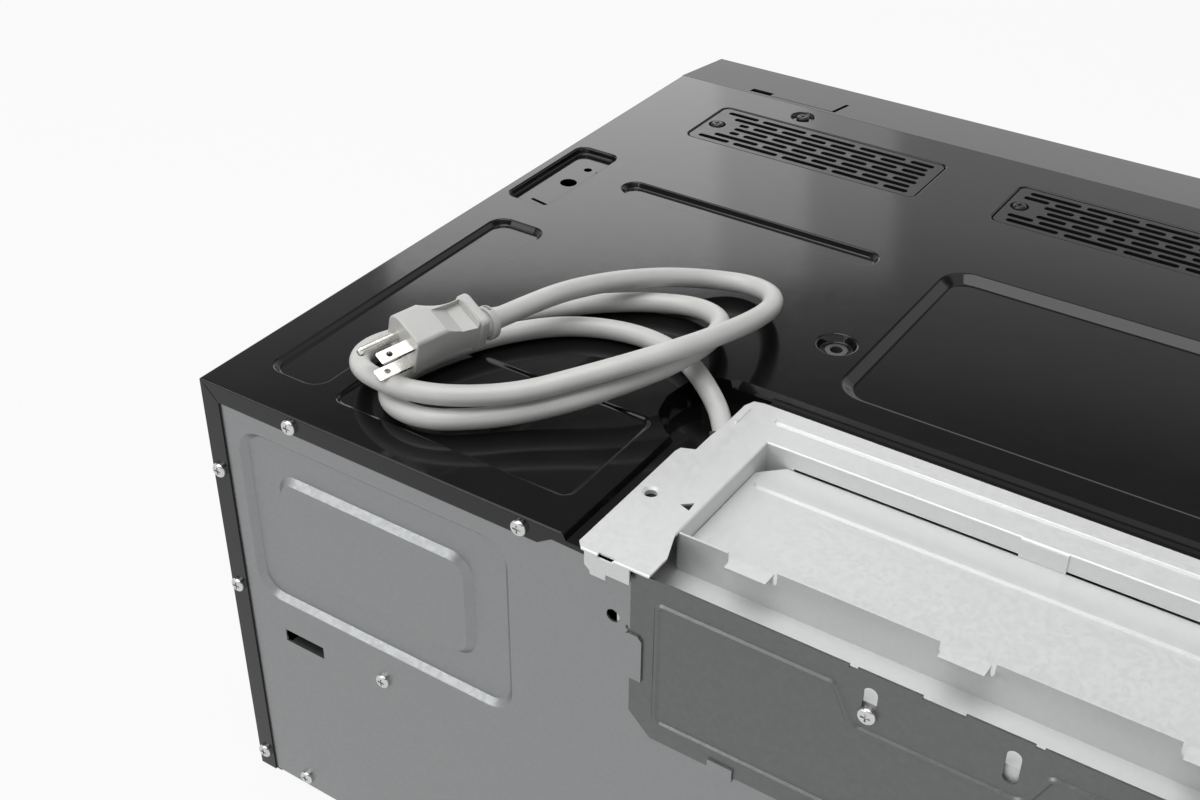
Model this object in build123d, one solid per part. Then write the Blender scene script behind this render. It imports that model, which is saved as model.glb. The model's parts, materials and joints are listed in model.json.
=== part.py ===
"""Low-profile over-the-range microwave: cabinet, rear blower, oven, door, controls and cord.

Millimetres. X runs to the right as seen from the front, Y to the back and Z up. The origin is the
middle of the footprint on the base. Most places are given as a depth, measured forward from the
back plane of the cabinet.
"""
from build123d import *
import math
import os

os.makedirs("parts", exist_ok=True)

# ---------------------------------------------------------------- driving dimensions of the cabinet
cabinet_width = 760.0
cabinet_height = 260.0
sheet = 1.0              # painted and galvanised sheet
top_depth = 441.0        # back plane to the crease at the front of the flat top
cabinet_depth = 452.0    # back plane to the face of the front frame
face_depth = 493.5       # back plane to the faces of the door, the control panel and the top trim
handle_reach = 38.0      # the handle's face in front of the door
rear_reach = 3.0         # blower plate and screw heads behind the back plane
trim_drop = 6.0          # fall of the top trim over its depth
trim_bottom = 244.0
trim_wall = 2.0
flange = 10.5            # returns of the wrap over the rear panel
frame_step = 10.0        # depth of the step behind the trim
moving_gap = 0.3         # least clearance between pieces that move against each other
running = 0.05           # radial clearance of pins and shafts
duct_half = 131.0        # half the width of the upright duct behind the top plate

half = cabinet_width / 2
top = cabinet_height
back = (face_depth + handle_reach + rear_reach) / 2 - rear_reach
MIRROR = Plane.YZ

# ---------------------------------------------------------------- stamped top
ledge_half, ledge_depth, ledge_drop = duct_half + 39.0, 142.0, 3.2
ledge_top = top - ledge_drop
ledge_lip = 2.8          # height of the ledge's rear return
bay_half, bay_depth = duct_half + 15.0, 125.0
pad_x0, pad_x1, pad_d0, pad_d1, pad_drop = ledge_half + 12.0, half - 64.0, 21.5, 91.0, 1.6
side_x0, side_x1, side_d0, side_d1, side_drop = half - 53.0, half - 19.4, 25.0, 211.7, 3.0
key_x0, key_x1, key_d0, key_d1, key_drop = half - 34.0, half - 6.0, 235.5, 313.0, 4.0
bead_x0, bead_x1, bead_d0, bead_d1, bead_drop = half - 217.6, half - 56.0, 275.0, 291.5, 3.0
centre_half, centre_d0, centre_d1, centre_drop = 126.5, 158.5, 299.0, 4.0
trough_drop, trough_r = 12.0, 11.0
trough_outline = [(bay_half, 139.0), (bay_half + 30.0, 139.0), (bay_half + 40.0, 127.0),
                  (bay_half + 42.0, 111.0), (bay_half + 38.5, 97.0), (bay_half + 25.0, 84.0),
                  (bay_half - 10.0, 84.0), (bay_half - 10.0, 116.0), (bay_half, 122.0)]
wall_draft = 38.0        # slope of the stamped walls, degrees from upright
shield_draft = 48.0      # the same on the rear panel's shields
rim_r, floor_r = 1.2, 1.4    # rounded edges of a stamped recess
bend_r = sheet           # outer radius where the sheet is folded

# ---------------------------------------------------------------- vent grilles
vent_d0, vent_d1 = 362.7, 413.0
vent_inner, vent_outer, vent_centre_half = half - 202.0, half - 49.6, 131.8
vent_spans = {"vent_grille_left": (-vent_outer, -vent_inner),
              "vent_grille_centre": (-vent_centre_half, vent_centre_half),
              "vent_grille_right": (vent_inner, vent_outer)}
vent_seat_drop = 3.0
vent_plate = 2.5
vent_fit = 0.8
vent_lip = 4.2
vent_corner = 5.0
vent_boss_r, vent_boss_room = 7.5, 14.5
slot_length, slot_pitch, slot_width = 30.3, 33.5, 3.9
slot_rows, slot_row_pitch, slot_margin, slot_least = 7, 6.3, 2.0, 6.0
vent_screw_inset, vent_screw_sink, vent_sink_r = 8.3, 1.5, 5.4

# ---------------------------------------------------------------- fasteners
screw_head_r, screw_head_h = 4.0, 2.5
screw_r, screw_length, screw_clear = 1.9, 8.0, 0.1
flange_screws = [(half - 57.1, 254.0), (half - 187.9, 254.0), (half - 5.0, 208.0), (half - 5.0, 134.3),
                 (half - 5.0, 12.2)]
panel_screws = [(half - 99.7, 116.4), (half - 34.8, 8.0), (half - 94.0, 8.0)]
trim_screw_x, trim_screw_depth, trim_screw_drop, trim_dimple_r = half - 97.7, 426.6, 2.0, 7.5
socket_x, socket_depth, socket_drop, socket_dimple_r = 142.8, 196.5, 4.0, 10.0
socket_r, socket_bore_r, socket_length = 8.0, 3.2, 14.0
socket_neck_r, socket_fit = 5.6, 0.1

# ---------------------------------------------------------------- blower
plate_half, plate_notch_half, plate_depth = duct_half + 31.0, duct_half + 23.0, 131.0
duct_d0, duct_d1 = 29.0, 104.6
duct_ledge_z = 239.0
pan_top = 250.0
housing_half, housing_depth, housing_floor = duct_half + 13.0, 122.0, 168.0
blower_axis_depth, blower_axis_z = 64.0, 203.5
wheel_r, wheel_hub_r, wheel_length, blade_count = 30.0, 9.0, 62.0, 20
motor_r, motor_length = 31.0, 96.0
shaft_r = 3.0
cover_half, cover_bottom, cover_top, cover_chamfer = duct_half + 5.3, 167.0, 256.5, 11.0
cover_slot_x, cover_slot_z0, cover_slot_z1, cover_slot_w = 28.5, 233.0, 249.5, 6.0
cover_bead_w, cover_bead_h, cover_bead_draft = 3.2, 0.9, 48.0
outlet_half, outlet_z0 = duct_half - 7.0, 178.0

# ---------------------------------------------------------------- oven
oven_x0, oven_x1 = -half + 30.0, half - 250.0
oven_back, oven_floor, oven_ceiling = 140.0, 30.0, 222.0
tray_r, tray_thick = 140.0, 5.0
roller_r, roller_wheel_r, roller_wheel_w = 88.0, 7.0, 8.0
coupler_r = 14.0
tray_bottom = 44.9
magnetron_x, magnetron_depth, magnetron_z = oven_x1 + 45.0, 295.0, 166.0
core_x, core_d, core_top = (half - 106.0, half - 14.0), (345.0, 400.0), 88.0
coil_windows = [(half - 88.0, half - 72.0), (half - 48.0, half - 32.0)]
capacitor_x, capacitor_depth = half - 40.0, 300.0
fan_x, fan_z, fan_d, fan_r, fan_shaft_r = half - 110.0, 92.0, 150.0, 54.0, 2.5
tray_x = (oven_x0 + oven_x1) / 2
tray_depth = (oven_back + cabinet_depth) / 2

# ---------------------------------------------------------------- door and controls
panel_x0 = half - 165.5  # the control panel begins here, clear of the swinging door
door_bottom, door_top = 5.0, 240.0
door_gap = 1.0           # between the door's back and the front frame
door_back = cabinet_depth + door_gap
door_skin = 4.0          # outer glass
door_x0, door_x1 = -half + 1.0, panel_x0 - 2.0
window_x0, window_x1, window_z0, window_z1 = door_x0 + 57.0, door_x1 - 60.5, 44.0, 201.0
hinge_x, hinge_depth = door_x0 + 5.0, 485.5
hinge_x1 = hinge_x + 29.0
hinge_pin_r = 3.0
hinge_plates = [(2.0, 4.0), (241.0, 243.0)]
hook_x, hook_z, hook_tip = door_x1 - 12.5, (62.0, 186.0), 436.0
hook_w = 5.0
handle_x, handle_z0, handle_z1 = door_x1 - 26.5, 32.0, 214.0
handle_w, handle_t, handle_post = 16.0, 10.0, 6.0
handle_post_z = (52.0, 194.0)
panel_wall = 2.5
display_x0, display_x1, display_z0, display_z1 = panel_x0 + 23.5, half - 24.0, 196.0, 226.0
keypad_z0, keypad_z1 = 66.0, 186.0
key_w = 52.0
key_spans = {"start_key": (display_x0 + 2.0, display_x0 + 2.0 + key_w),
             "stop_key": (display_x1 - 2.0 - key_w, display_x1 - 2.0)}
key_z0, key_z1, key_proud, key_fit = 32.0, 48.0, 1.2, 0.4
board_depth, board_thick, board_x0, board_x1 = 470.0, 1.6, panel_x0 + 9.5, half - 10.0

# ---------------------------------------------------------------- underside
filter_half_w, filter_d0, filter_d1, filter_thick = 105.0, 16.0, 128.0, 8.0
filter_x = half - 180.0
filter_lift, filter_fit = 1.0, 0.6
lens_half_w, lens_d0, lens_d1 = 45.0, 384.0, 424.0
lens_x = half - 165.0

# ---------------------------------------------------------------- cord and plug
cord_d = 10.0
# plug end first: across, forward from the back plane, up
cord_route = [
    (265.5, 78.5, 290.5), (261, 103, 289), (257, 124, 287), (251, 145, 283.5), (243, 166, 279),
    (233, 188, 273), (219, 206, 267.5), (201, 213, 267), (184, 205, 270.5), (173.5, 186, 276.5),
    (170, 161, 282.5), (175, 132, 286.5), (185, 108.5, 287), (199, 89, 284.5), (214, 73.5, 280.5),
    (229.5, 56.5, 277), (247, 41, 276.5), (267, 30, 276.5), (289, 27, 276.5), (311, 35, 273),
    (322, 54, 269), (317, 77, 266), (305, 97, 265.5), (290, 118, 265.5), (272, 139, 265.5),
    (254, 158, 265.5), (233, 173, 265.5), (210, 178.5, 267.5), (190.5, 168, 271), (183, 142, 276),
    (186.5, 115.5, 276.5), (198, 93, 274), (213, 73.5, 269.5), (229.5, 56, 266), (246, 39, 265.5),
    (265, 26, 265.5), (286, 27, 265.5), (298, 43, 265.5), (296, 66, 265.5), (288, 88, 265.5),
    (276, 109, 265.5), (259, 128, 265.5), (237.5, 139, 265.5), (214, 142, 265.5), (190, 134.5, 265.5),
    (172, 123, 262), (162, 117.5, 254.5), (152, 103, 253.5)]
plug_face = (280.0, 38.5, 289.0)     # between the blades, across, forward and up
plug_turn, plug_roll, plug_dip = 72.0, 21.0, 4.0     # pins from +X in plan, the roll about them, their dip
blade_gap, blade_w, blade_t, blade_l = 12.7, 6.35, 1.5, 17.5
ground_offset, ground_r, ground_l = 11.9, 2.4, 20.6
plug_x0, plug_x1, plug_half_w = -4.6, 19.0, 11.3     # body about the blades, to the earth pin's side
plug_head, plug_waist, plug_grip = 13.0, 24.0, 32.5  # ends of the head, the waist and the grips
bushing_x, bushing_depth, bushing_turn = duct_half + 21.0, 103.0, 125.0


def y_at(depth):
    """Y of a place this far forward of the back plane."""
    return back - depth


def slab(x0, x1, d0, d1, z0, z1):
    """Box between two sides, two depths and two heights."""
    box = Box(abs(x1 - x0), abs(d1 - d0), abs(z1 - z0))
    return Pos((x0 + x1) / 2, y_at((d0 + d1) / 2), (z0 + z1) / 2) * box


def both(piece):
    """The piece and its mirror image on the other side."""
    return piece + mirror(piece, MIRROR)


def seen_from_above(points):
    """Outline in X and Y through points given as (across, depth)."""
    return Polygon(*[(x, y_at(d)) for x, d in points], align=None)


def lying(outline, z0, z1):
    """Sketch in X and Y raised between two heights."""
    return extrude(Pos(0, 0, z0) * outline, z1 - z0, dir=(0, 0, 1))


def forward(outline, d0, d1):
    """Sketch in X and Z pushed forward between two depths."""
    plane = Plane(origin=(0, y_at(d0), 0), x_dir=(1, 0, 0), z_dir=(0, -1, 0))
    return extrude(plane * outline, d1 - d0, dir=(0, -1, 0))


def across(outline, x0, x1):
    """Sketch in depth and Z stretched between two sides."""
    plane = Plane(origin=(x1, back, 0), x_dir=(0, -1, 0), z_dir=(-1, 0, 0))
    return extrude(plane * outline, x1 - x0, dir=(-1, 0, 0))


def rect(x0, x1, v0, v1, r=0.0):
    """Rectangle between two pairs of coordinates, rounded at the corners."""
    shape = RectangleRounded(x1 - x0, v1 - v0, r) if r else Rectangle(x1 - x0, v1 - v0)
    return Pos((x0 + x1) / 2, (v0 + v1) / 2) * shape


def plan(x0, x1, d0, d1, r=0.0):
    """Rectangle in X and Y, given by depths."""
    return rect(x0, x1, y_at(d1), y_at(d0), r)


def disc(r, x, depth):
    """Circle in X and Y."""
    return Pos(x, y_at(depth)) * Circle(r)


def rod(r, start, end):
    """Round bar between two points."""
    a, b = Vector(*start), Vector(*end)
    return extrude(Plane(origin=a, z_dir=b - a) * Circle(r), (b - a).length)


def write(name, *pieces):
    """Write one node, as one solid or a group of separate solids."""
    shapes = [s for piece in pieces for s in piece.solids()]
    node = shapes[0] if len(shapes) == 1 else Compound(children=shapes)
    node.label = name
    export_step(node, f"parts/{name}.step")
    print(f"{name}: {len(shapes)} solid(s)")


# ---------------------------------------------------------------- screws
def screw(seat, out, length=screw_length):
    """Pan-head screw with a cross recess, its head seated at a point and facing out."""
    head = Pos(0, 0, screw_head_h / 2) * Cylinder(screw_head_r, screw_head_h)
    head = fillet(head.edges().group_by(Axis.Z)[-1], screw_head_h * 0.55)
    for size in ((0.9, 4.2), (4.2, 0.9)):
        head -= Pos(0, 0, screw_head_h) * Box(size[0], size[1], 2.0)
    shank = Pos(0, 0, -length / 2) * Cylinder(screw_r, length)
    return Plane(origin=seat, z_dir=out) * (head + shank)


def screw_hole(seat, out, length=screw_length + 2):
    """Clearance hole for a screw through whatever it holds."""
    bar = Cylinder(screw_r + screw_clear, 2 * length)
    return Plane(origin=seat, z_dir=out) * bar


rear_spots = [(s * x, y_at(0), z) for x, z in flange_screws for s in (1, -1)]
rear_spots += [(s * x, y_at(sheet), z) for x, z in panel_screws for s in (1, -1)]
rear_holes = [screw_hole(spot, (0, 1, 0)) for spot in rear_spots]
trim_spots = [(s * trim_screw_x, y_at(trim_screw_depth), top - trim_screw_drop) for s in (1, -1)]
trim_holes = [screw_hole(spot, (0, 0, 1)) for spot in trim_spots]
vent_seat_z = top - vent_seat_drop
vent_screw_spots = []
for x0, x1 in vent_spans.values():
    outer = x1 if abs(x1) >= abs(x0) else x0
    inset = vent_screw_inset * (1 if outer > 0 else -1)
    screw_z = vent_seat_z + vent_plate - vent_screw_sink
    vent_screw_spots.append((outer - inset, y_at((vent_d0 + vent_d1) / 2), screw_z))
vent_holes = [screw_hole(spot, (0, 0, 1)) for spot in vent_screw_spots]
cover_screw_spot = (cover_slot_x, y_at(0), 236.0)
cover_hole = screw_hole(cover_screw_spot, (0, 1, 0))


# ---------------------------------------------------------------- cabinet
def stamp(outline, drop, draft):
    """A stamped recess: the sheet formed under the top and the room cut out of it."""
    down = (0, 0, -1)
    room = extrude(Pos(0, 0, top) * outline, drop, dir=down, taper=draft)
    skin = extrude(Pos(0, 0, top) * offset(outline, sheet), drop + sheet, dir=down, taper=draft)
    return skin, room


def level_edges(piece, z, outline):
    """Flat edges of a piece at one height that lie within an outline."""
    limits = outline.face().bounding_box()
    found = []
    for edge in piece.edges():
        box = edge.bounding_box()
        level = abs(box.min.Z - z) < 0.001 and abs(box.max.Z - z) < 0.001
        if level and limits.min.X < box.min.X and box.max.X < limits.max.X \
                and limits.min.Y < box.min.Y and box.max.Y < limits.max.Y:
            found.append(edge)
    return found


def rounded_stamp(outline, drop, draft, rim, floor):
    """A stamped recess with its rim and floor rounded, on the piece of the top around it."""
    skin, room = stamp(outline, drop, draft)
    foot = lying(offset(outline, 3 * sheet), top - sheet, top)
    patch = foot + skin - room
    patch = fillet(level_edges(patch, top, offset(outline, 2 * sheet)), rim)
    patch = fillet(level_edges(patch, top - drop, outline), floor)
    return foot, patch


def outer_wrap():
    """Painted wrap: stamped top, two sides and the returns over the rear panel."""
    body = slab(-half, half, 0, top_depth, 0, top)
    body = fillet(body.faces().sort_by(Axis.Z)[-1].edges().sort_by(Axis.Y)[1:], bend_r)
    body -= slab(-half + sheet, half - sheet, sheet, top_depth + 5, -5, top - sheet)
    tip, lip_x, lip_z = ledge_half + 13.4, plate_half - 2.5, ledge_top - ledge_lip
    window = Polygon((0, -5), (half - flange, -5), (half - flange, top - flange), (tip, top - flange),
                     (tip - 7.5, lip_z + 0.4), (lip_x, lip_z), (lip_x, top + 5), (0, top + 5), align=None)
    body -= both(forward(window, -1, sheet + 0.5))
    mitre = Pos(half - flange / 2 - 1.0, top - flange / 2 - 1.0) * Rot(0, 0, 45) * Rectangle(flange, 0.5)
    body -= both(forward(mitre, -1, sheet - 0.3))
    side = slab(half - sheet, half, top_depth - sheet, cabinet_depth, 0, trim_bottom)
    side += slab(half - 14, half, sheet, cabinet_depth, 0, sheet)
    body += both(side)

    recesses = [(plan(-centre_half, centre_half, centre_d0, centre_d1, 15), centre_drop, 52.0, 2.0, 2.0)]
    for x0, x1 in vent_spans.values():
        recesses.append((plan(x0, x1, vent_d0, vent_d1, vent_corner), vent_seat_drop, 0.0, 0.9, 0.3))
    for s in (1, -1):
        for x0, x1, d0, d1, drop, r, draft in (
                (pad_x0, pad_x1, pad_d0, pad_d1, pad_drop, 6.0, wall_draft),
                (side_x0, side_x1, side_d0, side_d1, side_drop, 9.0, wall_draft),
                (key_x0, key_x1, key_d0, key_d1, key_drop, 6.0, 15.0),
                (bead_x0, bead_x1, bead_d0, bead_d1, bead_drop, 8.0, wall_draft)):
            recesses.append((plan(*sorted((s * x0, s * x1)), d0, d1, r), drop, draft, rim_r, floor_r))
        socket_dimple = disc(socket_dimple_r, s * socket_x, socket_depth)
        recesses.append((socket_dimple, socket_drop, 25.0, rim_r, 1.0))
        trim_dimple = disc(trim_dimple_r, s * trim_screw_x, trim_screw_depth)
        recesses.append((trim_dimple, trim_screw_drop, 25.0, 0.8, 0.6))
    for recess in recesses:
        foot, patch = rounded_stamp(*recess)
        body = body - foot + patch

    trough = seen_from_above(trough_outline)
    trough = fillet([v for v in trough.vertices() if v.X > bay_half + 20], trough_r)
    deep = [stamp(plan(-ledge_half, ledge_half, -12, ledge_depth, 5), ledge_drop, 25.0),
            stamp(trough, trough_drop, 12.0)]
    for skin, room in deep:
        body += skin
    for skin, room in deep:
        body -= room
    body -= slab(-half - 5, half + 5, -15, 0, -5, top + 5)
    body -= slab(-bay_half, bay_half, -15, bay_depth, top - 40, top + 5)

    for x0, x1 in vent_spans.values():
        body -= slab(x0 + vent_lip, x1 - vent_lip, vent_d0 + vent_lip, vent_d1 - vent_lip, top - 20, top)
    for x, y, z in vent_screw_spots:
        body += lying(Pos(x, y) * Circle(vent_boss_r), vent_seat_z - sheet, vent_seat_z)
    for s in (1, -1):
        for r, x, d in ((5.0, half - 23.3, 274.1), (2.5, half - 23.3, 294.4), (1.75, half - 31.1, 293.9)):
            body -= lying(disc(r, s * x, d), top - 10, top)
        slot = Pos(s * (half - 23.4), y_at(244.6)) * Rot(0, 0, s * -10) * SlotOverall(13, 2.2)
        body -= lying(slot, top - 10, top)
        socket_hole = disc(socket_neck_r + socket_fit, s * socket_x, socket_depth)
        body -= lying(socket_hole, top - 10, top - socket_drop + 2)
    for hole in rear_holes + trim_holes + vent_holes:
        body -= hole
    return body


def pressed(outline, face_d, depth, draft, inward=True):
    """Skin and room of a pressed form whose outline lies on a rear face, going in or coming out."""
    facing = -1 if inward else 1
    plane = Plane(origin=(0, y_at(face_d), 0), x_dir=(-facing, 0, 0), z_dir=(0, facing, 0))
    flat = outline if inward else mirror(outline, MIRROR)
    if inward:
        skin = extrude(plane * offset(flat, sheet), depth + sheet, taper=draft)
        return skin, extrude(plane * flat, depth, taper=draft)
    skin = extrude(plane * flat, depth, taper=draft)
    return skin, extrude(plane.offset(-sheet) * offset(flat, -sheet), depth, taper=draft)


def shield():
    """Stamped recess of the rear panel with its raised island, on the piece of the panel around it."""
    outline = rect(half - 179.8, half - 19.2, 135.7, 239.2, 15)
    island = rect(half - 157.5, half - 40.3, 157.8, 219.2, 12)
    drop = 3.0
    foot = forward(offset(outline, 3 * sheet), sheet, 2 * sheet)
    skin, room = pressed(outline, sheet, drop, shield_draft)
    patch = foot + skin - room
    faces = patch.faces().filter_by(Axis.Y)
    rim = [e for e in faces.sort_by(Axis.Y)[-1].inner_wires()[0].edges()]
    patch = fillet(rim, rim_r)
    island_skin, island_room = pressed(island, sheet + drop, drop, shield_draft, inward=False)
    return foot, patch + island_skin - island_room


def rear_panel():
    """Galvanised back with its stamped shields, lanced slots and the straps for the blower cover."""
    panel = forward(rect(-half + sheet, half - sheet, sheet, top - sheet), sheet, 2 * sheet)
    foot, patch = shield()
    panel = panel - both(foot) + both(patch)
    lance_x0, lance_x1, lance_z0, lance_z1 = half - 59.4, half - 33.8, 109.0, 116.6
    panel -= forward(rect(lance_x0, lance_x1, lance_z0, lance_z1), -1, 6)
    panel += slab(lance_x0 + 1.5, lance_x1 - 2.5, sheet, sheet + 5.5, lance_z0 - sheet, lance_z0)
    panel -= forward(rect(-outlet_half - 4, outlet_half + 4, outlet_z0 - 3, top), 0, 3)
    panel -= forward(rect(-plate_half + 2, plate_half - 2, top - flange, top), 0, 3)
    panel -= forward(rect(-ledge_half - 3, ledge_half + 3, ledge_top - sheet - moving_gap, top), 0, 3)
    panel -= both(forward(Pos(duct_half + 14.4, 226.7) * Circle(3.3), 0, 3))
    strap_x, strap_z0, strap_z1 = cover_half + 0.4, 198.0, 223.0
    side_strap = slab(strap_x, strap_x + 1.2, -sheet, sheet, strap_z0, strap_z1)
    flap = Polygon((strap_x + 1.2, strap_z0), (strap_x - 6.7, strap_z0), (strap_x - 6.7, strap_z1 - 2.5),
                   (strap_x - 4.7, strap_z1), (strap_x + 1.2, strap_z1), align=None)
    side_strap += forward(flap, -sheet, 0)
    ends = (strap_z0 - 0.9, strap_z1 + 0.9)
    reliefs = [forward(Pos(strap_x + 1.0, z) * Circle(1.4), -2, 3) for z in ends]
    low_strap = slab(84, 96, -sheet, sheet, cover_bottom - 2, cover_bottom - 0.4)
    low_strap += slab(84, 96, -sheet, 0, cover_bottom - 2, cover_bottom + 5)
    panel += both(side_strap + low_strap)
    for relief in reliefs:
        panel -= both(relief)
    for hole in rear_holes + [cover_hole]:
        panel -= hole
    return panel


def base_pan():
    """Floor of the cabinet with its windows for the filters and lamps and its turned-up edges."""
    x = half - sheet
    pan = slab(-x, x, 2 * sheet, cabinet_depth - sheet, sheet, 2 * sheet)
    pan += both(slab(x - sheet, x, 2 * sheet, cabinet_depth - sheet, sheet, 14))
    pan += slab(-x, x, 2 * sheet, 3 * sheet, sheet, 16)
    pan += slab(-x, x, filter_d1 + 8, filter_d1 + 8 + sheet, sheet, 12)
    pan -= slab(-x - 1, hinge_x1, cabinet_depth - 15, cabinet_depth, *hinge_plates[0])
    for s in (1, -1):
        pan -= slab(s * filter_x - filter_half_w - filter_fit, s * filter_x + filter_half_w + filter_fit,
                    filter_d0 - filter_fit, filter_d1 + filter_fit, 0, 5)
        pan -= slab(s * lens_x - lens_half_w, s * lens_x + lens_half_w, lens_d0, lens_d1, 0, 5)
        for i in range(7):
            d = 180 + 12 * i
            pan -= lying(plan(*sorted((s * (half - 80), s * (half - 30))), d, d + 4, 1.9), 0, 5)
    for hole in rear_holes:
        pan -= hole
    return pan


def front_frame():
    """Sheet behind the door: mouth of the oven, latch slots, and the step under the top trim."""
    x = half - sheet
    face = slab(-x, x, cabinet_depth - sheet, cabinet_depth, 2 * sheet, trim_bottom)
    step = slab(-x, x, top_depth - frame_step, cabinet_depth, trim_bottom - sheet, trim_bottom)
    riser = slab(-x, x, top_depth - frame_step, top_depth - frame_step + sheet, trim_bottom - sheet,
                 top - trim_screw_drop - sheet)
    lip = slab(-x, x, top_depth - frame_step - 14, top_depth - frame_step + sheet,
               top - trim_screw_drop - 2 * sheet, top - trim_screw_drop - sheet)
    lip -= slab(-trim_screw_x + 14, trim_screw_x - 14, 400, top_depth - frame_step, trim_bottom, top - 2)
    frame = face + step + riser + lip
    frame -= slab(oven_x0, oven_x1, 440, 460, oven_floor, oven_ceiling)
    for z in hook_z:
        frame -= slab(hook_x - 5, hook_x + 9, 440, 460, z - 9, z + 9)
    frame -= slab(display_x0 - 3, display_x1 - 1, 440, 460, 60, 200)
    for z0, z1 in hinge_plates:
        frame -= slab(-x - 1, hinge_x1 + 0.2, 440, 460, z0 - 0.2, z1 + (0.2 if z1 < 20 else 0))
    for hole in trim_holes:
        frame -= hole
    return frame


def top_trim():
    """Sloping strip over the door, with its front lip and end caps."""
    def profile(inset):
        fall = trim_drop / (face_depth - top_depth)
        front = face_depth - inset
        return Polygon((top_depth + (inset and 0.01), trim_bottom), (front, trim_bottom),
                       (front, top - fall * (front - top_depth) - inset),
                       (top_depth + (inset and 0.01), top - inset), align=None)
    trim = across(profile(0.0), -half, half)
    trim -= across(profile(trim_wall), -half + trim_wall, half - trim_wall)
    trim = fillet(trim.edges().filter_by(Axis.X).group_by(Axis.Z)[-1], 0.6)
    groove = 0.8
    slot_x0, slot_x1, cut_x = half - 64.0, half - 49.0, half - 109.4
    for s in (1, -1):
        trim -= slab(*sorted((s * slot_x0, s * slot_x1)), 445, 451, 250, top + 1)
        trim -= slab(*sorted((s * cut_x, s * slot_x0)), 445, 445 + groove, top - 1.4, top + 1)
        corners = ((cut_x - 1.2, 445), (cut_x + 1.2, 445), (cut_x + 0.2, 465), (cut_x - 2.2, 465))
        cut = seen_from_above([(s * x, d) for x, d in corners])
        trim -= lying(cut, 250, top + 1)
    return trim


def vent_grille(x0, x1):
    """Slotted plate seated in the top, its slots laid like bricks."""
    plate = lying(plan(x0 + vent_fit, x1 - vent_fit, vent_d0 + vent_fit, vent_d1 - vent_fit,
                       vent_corner - vent_fit), vent_seat_z, vent_seat_z + vent_plate)
    outer = x1 if abs(x1) >= abs(x0) else x0
    towards = -1 if outer > 0 else 1
    centre_depth = (vent_d0 + vent_d1) / 2
    slots = Sketch()
    margin = vent_lip + slot_margin
    low, high = x0 + margin, x1 - margin
    for row in range(slot_rows):
        depth = centre_depth + (row - (slot_rows - 1) / 2) * slot_row_pitch
        near_boss = abs(depth - centre_depth) < vent_boss_r + 0.5
        start, stop = low, high
        if near_boss and towards < 0:
            stop = high - vent_boss_room
        if near_boss and towards > 0:
            start = low + vent_boss_room
        left = low - slot_length / 2 - (slot_pitch / 2 if row % 2 else 0)
        while left < stop:
            a, b = max(left, start), min(left + slot_length, stop)
            if b - a > slot_least:
                slots += Pos((a + b) / 2, y_at(depth)) * SlotOverall(b - a, slot_width)
            left += slot_pitch
    plate -= lying(slots, vent_seat_z - 1, vent_seat_z + vent_plate + 1)
    for x, y, z in vent_screw_spots:
        plate -= lying(Pos(x, y) * Circle(vent_sink_r), z, z + 2 * vent_screw_sink)
    for hole in vent_holes:
        plate -= hole
    return plate


def mount_sockets():
    """Threaded sockets under the top that take the cabinet bolts."""
    floor = top - socket_drop
    nuts = []
    for s in (1, -1):
        nut = Pos(0, 0, -1.25) * Cylinder(socket_r, 2.5)
        nut += Pos(0, 0, 0.8 - socket_length / 2) * Cylinder(socket_neck_r, socket_length + 1.6)
        nut -= Cylinder(socket_bore_r, 3 * socket_length)
        nuts.append(Pos(s * socket_x, y_at(socket_depth), floor - sheet) * nut)
    return nuts


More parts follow.
